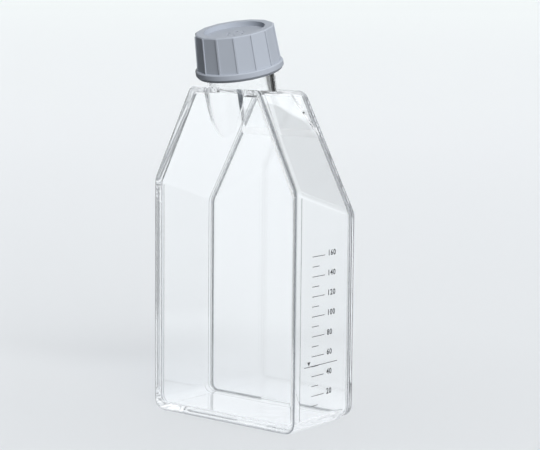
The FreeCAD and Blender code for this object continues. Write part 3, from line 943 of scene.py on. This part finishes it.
# white and black card round the flask, as (azimuth from the front, level)
LOW_CARDS = (
    (-180, 1.0),
    (-160, 1.09),
    (-120, 1.09),
    (-111, 1.0),
    (-107, 0.05),
    (-95, 0.05),
    (-91, 1.0),
    (-62, 1.15),
    (-22, 1.15),
    (-18, 0.9),
    (8, 0.9),
    (120, 0.6),
    (158, 0.6),
    (166, 1.0),
    (180, 1.0),
)
FAR_CARDS = (
    (-180, 0.03),
    (-158, 0.03),
    (-152, 1.0),
    (160, 1.0),
    (166, 0.03),
    (180, 0.03),
)
HIGH_CARDS = (
    (-180, 0.06),
    (-168, 0.06),
    (-160, 1.0),
    (-111, 1.0),
    (-107, 0.08),
    (-80, 0.08),
    (-70, 1.0),
    (-22, 1.0),
    (-18, 0.12),
    (10, 0.12),
    (20, 0.8),
    (148, 0.9),
    (154, 0.06),
    (180, 0.06),
)
CEILING = (
    (-180, 1.3),
    (-172, 1.3),
    (-165, 1.0),
    (145, 1.0),
    (155, 1.3),
    (180, 1.3),
)
CARDS_FROM = (0.17, 0.21)
FAR_CARDS_FROM = (3.0, 5.0)
# painted light: through and in the glass the table is brighter near the flask, most under it
NEAR_PAINTED_LIGHT = 1.06
UNDER_PAINTED_LIGHT = 1.16
UNDER_REACH = (0.045, 0.075)
CARD_TOP = 17.15
CARD_BLEND = 0.04
CARD_TILT = math.radians(-7)


def place_camera():
    """The camera, a little above the flask and round towards its graduated side."""
    back = Vector((
        math.sin(VIEW_AZIMUTH) * math.cos(VIEW_ELEVATION),
        -math.cos(VIEW_AZIMUTH) * math.cos(VIEW_ELEVATION),
        math.sin(VIEW_ELEVATION),
    ))
    target = Vector((
        VIEW_TARGET_ACROSS * math.cos(VIEW_AZIMUTH),
        VIEW_TARGET_ACROSS * math.sin(VIEW_AZIMUTH),
        VIEW_TARGET_HEIGHT,
    ))
    right = (-back).cross(Vector((0, 0, 1))).normalized()
    up = right.cross(-back)
    rolled_right = right * math.cos(VIEW_ROLL) + up * math.sin(VIEW_ROLL)
    rolled_up = up * math.cos(VIEW_ROLL) - right * math.sin(VIEW_ROLL)
    turn = Matrix((rolled_right, rolled_up, back)).transposed()
    data = bpy.data.cameras.new("camera")
    data.lens = LENS
    data.clip_start = 0.01
    camera = bpy.data.objects.new("camera", data)
    camera.matrix_world = Matrix.Translation(target + back * VIEW_DISTANCE) @ turn.to_4x4()
    bpy.context.scene.collection.objects.link(camera)
    bpy.context.scene.camera = camera


def sun_lamp(name, azimuth, elevation, spread, share):
    """An even, soft light; share is what it gives a white surface that faces it."""
    data = bpy.data.lights.new(name, "SUN")
    data.energy = share * math.pi
    data.angle = math.radians(spread)
    lamp = bpy.data.objects.new(name, data)
    around = math.radians(azimuth)
    above = math.radians(elevation)
    direction = Vector((
        math.sin(around) * math.cos(above),
        -math.cos(around) * math.cos(above),
        math.sin(above),
    ))
    lamp.rotation_euler = direction.to_track_quat("Z", "Y").to_euler()
    lamp.visible_glossy = False
    lamp.visible_transmission = False
    bpy.context.scene.collection.objects.link(lamp)


def pale_table(cards, far_cards):
    """A pale satin table with painted shade: darker near the flask, lighter away from it."""
    mesh = bpy.data.meshes.new("table")
    reach = TABLE_REACH
    corners = [(-reach, -reach, 0), (reach, -reach, 0), (reach, reach, 0), (-reach, reach, 0)]
    mesh.from_pydata(corners, [], [(0, 1, 2, 3)])
    table = bpy.data.objects.new("table", mesh)
    bpy.context.scene.collection.objects.link(table)
    material, tree, output = new_material("pale_table")
    place = add(tree, "ShaderNodeTexCoord")
    length = add(tree, "ShaderNodeVectorMath", {0: place.outputs["Object"]}, operation="LENGTH")
    distance = length.outputs["Value"]
    fade = add(tree, "ShaderNodeMapRange", {"Value": distance, "From Max": TABLE_FADE_END})
    # painted shade: the table's colour darkens towards the flask
    ramp = add(tree, "ShaderNodeValToRGB", {"Fac": fade.outputs["Result"]})
    stops = [(far / TABLE_FADE_END, colour) for far, colour in TABLE_FADE]
    paint_ramp(ramp, stops + [(1.0, TABLE_FADE[-1][1])])

    def ring_beyond(cards, limits, before):
        """Level by direction past a distance; an even level nearer than that."""
        ring = add(tree, "ShaderNodeGroup", node_tree=cards)
        feed(tree, ring.inputs["Direction"], place.outputs["Object"])
        reached = add(tree, "ShaderNodeMapRange", {
            "Value": distance,
            "From Min": limits[0],
            "From Max": limits[1],
        })
        level = add(tree, "ShaderNodeMix", {
            "Factor": reached.outputs["Result"],
            "A": before,
            "B": ring.outputs["Level"],
        }, data_type="FLOAT")
        return level.outputs["Result"]

    def product(first, second):
        """Two levels multiplied."""
        return add(tree, "ShaderNodeMath", {0: first, 1: second}, operation="MULTIPLY").outputs[0]

    # painted light under the flask, seen only through and in the glass
    painted_light_under = add(tree, "ShaderNodeMapRange", {
        "Value": distance,
        "From Min": UNDER_REACH[0],
        "From Max": UNDER_REACH[1],
        "To Min": UNDER_PAINTED_LIGHT,
        "To Max": 1.0,
    })
    near = ring_beyond(cards, CARDS_FROM, NEAR_PAINTED_LIGHT)
    far = ring_beyond(far_cards, FAR_CARDS_FROM, 1.0)
    path = add(tree, "ShaderNodeLightPath")
    through = add(tree, "ShaderNodeMath", {
        0: path.outputs["Is Transmission Ray"],
        1: path.outputs["Is Glossy Ray"],
    }, operation="MAXIMUM")
    carded = add(tree, "ShaderNodeMix", {
        "Factor": through.outputs[0],
        "A": 1.0,
        "B": product(product(near, far), painted_light_under.outputs["Result"]),
    }, data_type="FLOAT")
    spill = add(tree, "ShaderNodeMapRange", {
        "Value": path.outputs["Is Diffuse Ray"],
        "To Min": 1.0,
        "To Max": TABLE_SPILL,
    })
    tone = add(tree, "ShaderNodeVectorMath", {
        0: ramp.outputs["Color"],
        "Scale": product(carded.outputs["Result"], spill.outputs["Result"]),
    }, operation="SCALE")
    shader = add(tree, "ShaderNodeBsdfDiffuse", {"Color": tone.outputs[0]})
    gloss = add(tree, "ShaderNodeBsdfGlossy", {"Roughness": 0.08})
    mix = add(tree, "ShaderNodeMixShader", {
        0: TABLE_GLOSS,
        1: shader.outputs[0],
        2: gloss.outputs[0],
    })
    feed(tree, output.inputs["Surface"], mix.outputs[0])
    mesh.materials.append(material)


def studio_sky(cards, ceiling):
    """A dim even sky for matt surfaces; clear walls see the cards and a bright ceiling."""
    world = bpy.data.worlds.new("studio")
    bpy.context.scene.world = world
    world.use_nodes = True
    tree = world.node_tree
    tree.nodes.clear()
    output = add(tree, "ShaderNodeOutputWorld")
    direction = add(tree, "ShaderNodeTexCoord").outputs["Generated"]
    ring = add(tree, "ShaderNodeGroup", node_tree=cards)
    feed(tree, ring.inputs["Direction"], direction)
    over = add(tree, "ShaderNodeGroup", node_tree=ceiling)
    feed(tree, over.inputs["Direction"], direction)
    tilted = add(tree, "ShaderNodeVectorMath", {
        0: direction,
        1: (math.sin(CARD_TILT), 0, math.cos(CARD_TILT)),
    }, operation="DOT_PRODUCT")
    above = add(tree, "ShaderNodeMapRange", interpolation_type="SMOOTHSTEP")
    feed(tree, above.inputs["Value"], tilted.outputs["Value"])
    feed(tree, above.inputs["From Min"], math.sin(math.radians(CARD_TOP - CARD_BLEND)))
    feed(tree, above.inputs["From Max"], math.sin(math.radians(CARD_TOP + CARD_BLEND)))
    level = add(tree, "ShaderNodeMix", {
        "Factor": above.outputs["Result"],
        "A": ring.outputs["Level"],
        "B": over.outputs["Level"],
    }, data_type="FLOAT")
    seen = add(tree, "ShaderNodeBackground", {
        "Color": (0.95, 0.975, 1.0, 1),
        "Strength": level.outputs["Result"],
    })
    even = add(tree, "ShaderNodeBackground", {
        "Color": (0.95, 0.97, 1.0, 1),
        "Strength": SKY_FILL,
    })
    plain = add(tree, "ShaderNodeBackground", {"Color": FAR_COLOUR})
    path = add(tree, "ShaderNodeLightPath")
    matt = add(tree, "ShaderNodeMixShader", {
        0: path.outputs["Is Diffuse Ray"],
        1: seen.outputs[0],
        2: even.outputs[0],
    })
    direct = add(tree, "ShaderNodeMixShader", {
        0: path.outputs["Is Camera Ray"],
        1: matt.outputs[0],
        2: plain.outputs[0],
    })
    feed(tree, output.inputs["Surface"], direct.outputs[0])


def studio():
    """Sky, table and lamps: a soft key from the front right and three faint lamps."""
    studio_sky(card_ring("high_cards", HIGH_CARDS), card_ring("ceiling", CEILING))
    pale_table(card_ring("low_cards", LOW_CARDS), card_ring("far_cards", FAR_CARDS))
    for lamp in LAMPS:
        sun_lamp(*lamp)


def dress(node, material):
    """The one material of a solid that is shown as it comes."""
    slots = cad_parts[node].data.materials
    slots.clear()
    slots.append(material)


bpy.context.scene.view_settings.view_transform = "Standard"
paths = bpy.context.scene.cycles
paths.max_bounces = BOUNCES
paths.transmission_bounces = BOUNCES
paths.glossy_bounces = BOUNCES
paths.transparent_max_bounces = BOUNCES
place_camera()
studio()

GRAIN = moulded_grain()
CLEAR = clear_polystyrene()
INK = scale_ink(GRAIN)

moulding = clear_moulding(CLEAR)
plate = growth_wall(CLEAR)
cap = ribbed_cap(cap_polyethylene(GRAIN))
for piece in (moulding, plate):
    # painted shade along the edges of the clear pieces
    mark_corners(piece)
    shade(piece, CLEAR_SMOOTH_ANGLE)
shade(cap, CAP_SMOOTH_ANGLE)
printed = [scale_ticks(INK), scale_numbers(INK), fill_line(INK)]

for piece in [moulding, plate] + printed:
    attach(piece, "flask")
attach(cap, "cap")
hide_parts("flask_body")
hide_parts("growth_plate")
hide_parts("screw_cap")
dress("vent_membrane", membrane_film(GRAIN))
